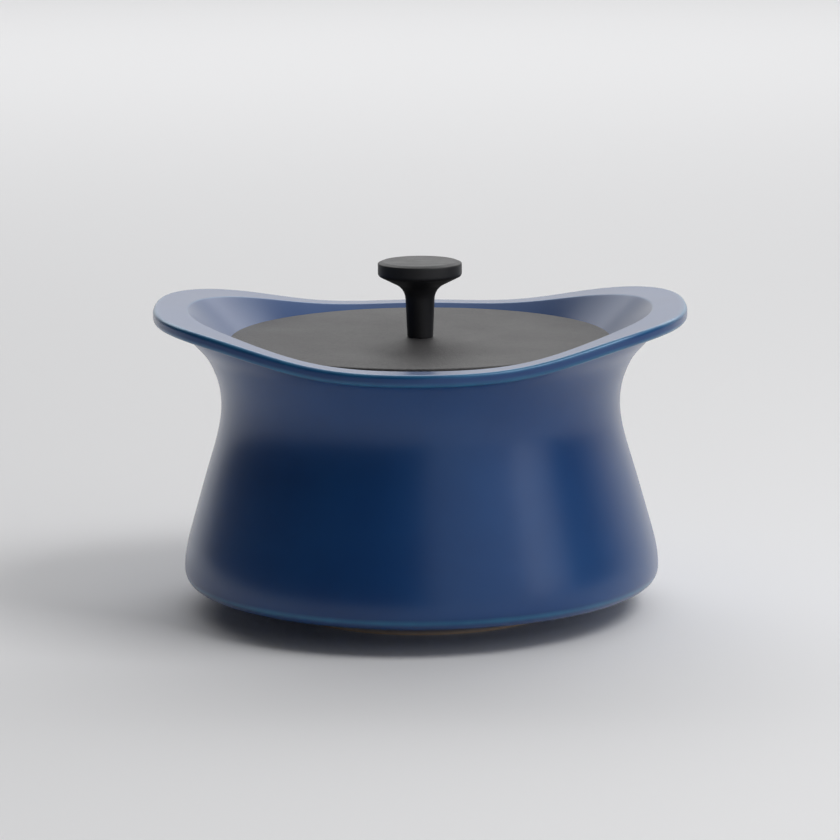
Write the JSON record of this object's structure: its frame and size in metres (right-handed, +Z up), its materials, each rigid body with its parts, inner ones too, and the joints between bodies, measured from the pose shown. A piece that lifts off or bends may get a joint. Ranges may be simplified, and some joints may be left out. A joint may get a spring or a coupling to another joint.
{
  "type": "casserole pot",
  "caption": "Round glazed stoneware casserole pot with a waisted body, a saddle-shaped brim that widens into two ears, and a flat cast iron lid with a T-shaped knob.",
  "frame": {"origin": "on the pot's upright centre line, in the plane that the foot ring stands on", "axes": "+X from the pot's centre to its right ear, +Y to the back, +Z up"},
  "size_m": [0.2792, 0.2508, 0.1829],
  "materials": {
    "glaze": "deep navy satin glaze that breaks to teal blue where it is thin over edges",
    "iron": "dark grey, fine sand-cast grain, matt",
    "knob_black": "black phenolic, fine matt texture",
    "brass": "turned brass",
    "steel": "zinc plated steel"
  },
  "bodies": {
    "pot": {"pot_body": "glaze"},
    "lid_assembly": {"lid": "iron", "knob": "knob_black", "knob_insert": "brass", "knob_screw": "steel", "flat_washer": "steel", "spring_washer": "steel"}
  },
  "joints": [
    {"name": "lid_lift", "type": "slide", "parent": "pot", "child": "lid_assembly", "axis": [0, 0, 1], "range_m": [0, 0.12]}
  ]
}
